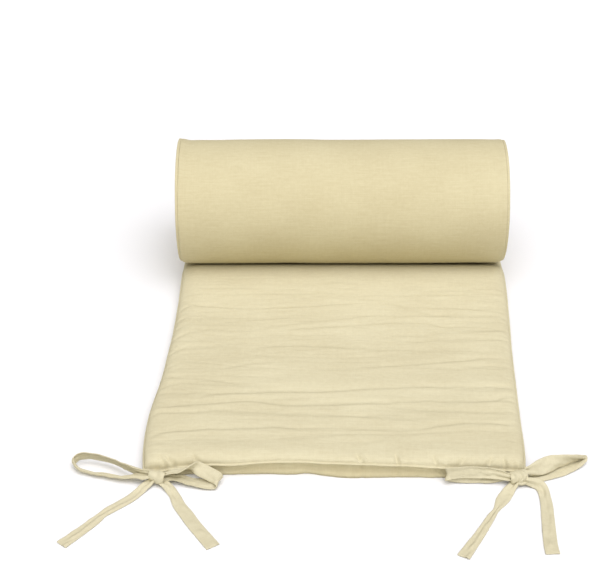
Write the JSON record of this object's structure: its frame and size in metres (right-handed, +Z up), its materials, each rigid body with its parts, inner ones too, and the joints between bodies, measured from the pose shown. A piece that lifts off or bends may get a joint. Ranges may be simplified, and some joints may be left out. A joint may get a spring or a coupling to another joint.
{
  "type": "crib bumper",
  "caption": "Padded cotton crib bumper lying partly rolled up, with a flat stretch in front and a ribbon bow tied at each front corner.",
  "frame": {"origin": "on the underside of the flat stretch, level with the surface it rests on, in the middle of its width", "axes": "+Z up, +Y along the panel from the front edge with the ties to the roll, +X to the right seen from the front edge"},
  "size_m": [0.411, 0.4738, 0.126],
  "materials": {
    "pad_cotton": "matte woven cotton",
    "tie_cotton": "matte woven cotton ribbon"
  },
  "bodies": {
    "root": {"pad": "pad_cotton", "tie_left": "tie_cotton", "tie_right": "tie_cotton"}
  },
  "joints": []
}
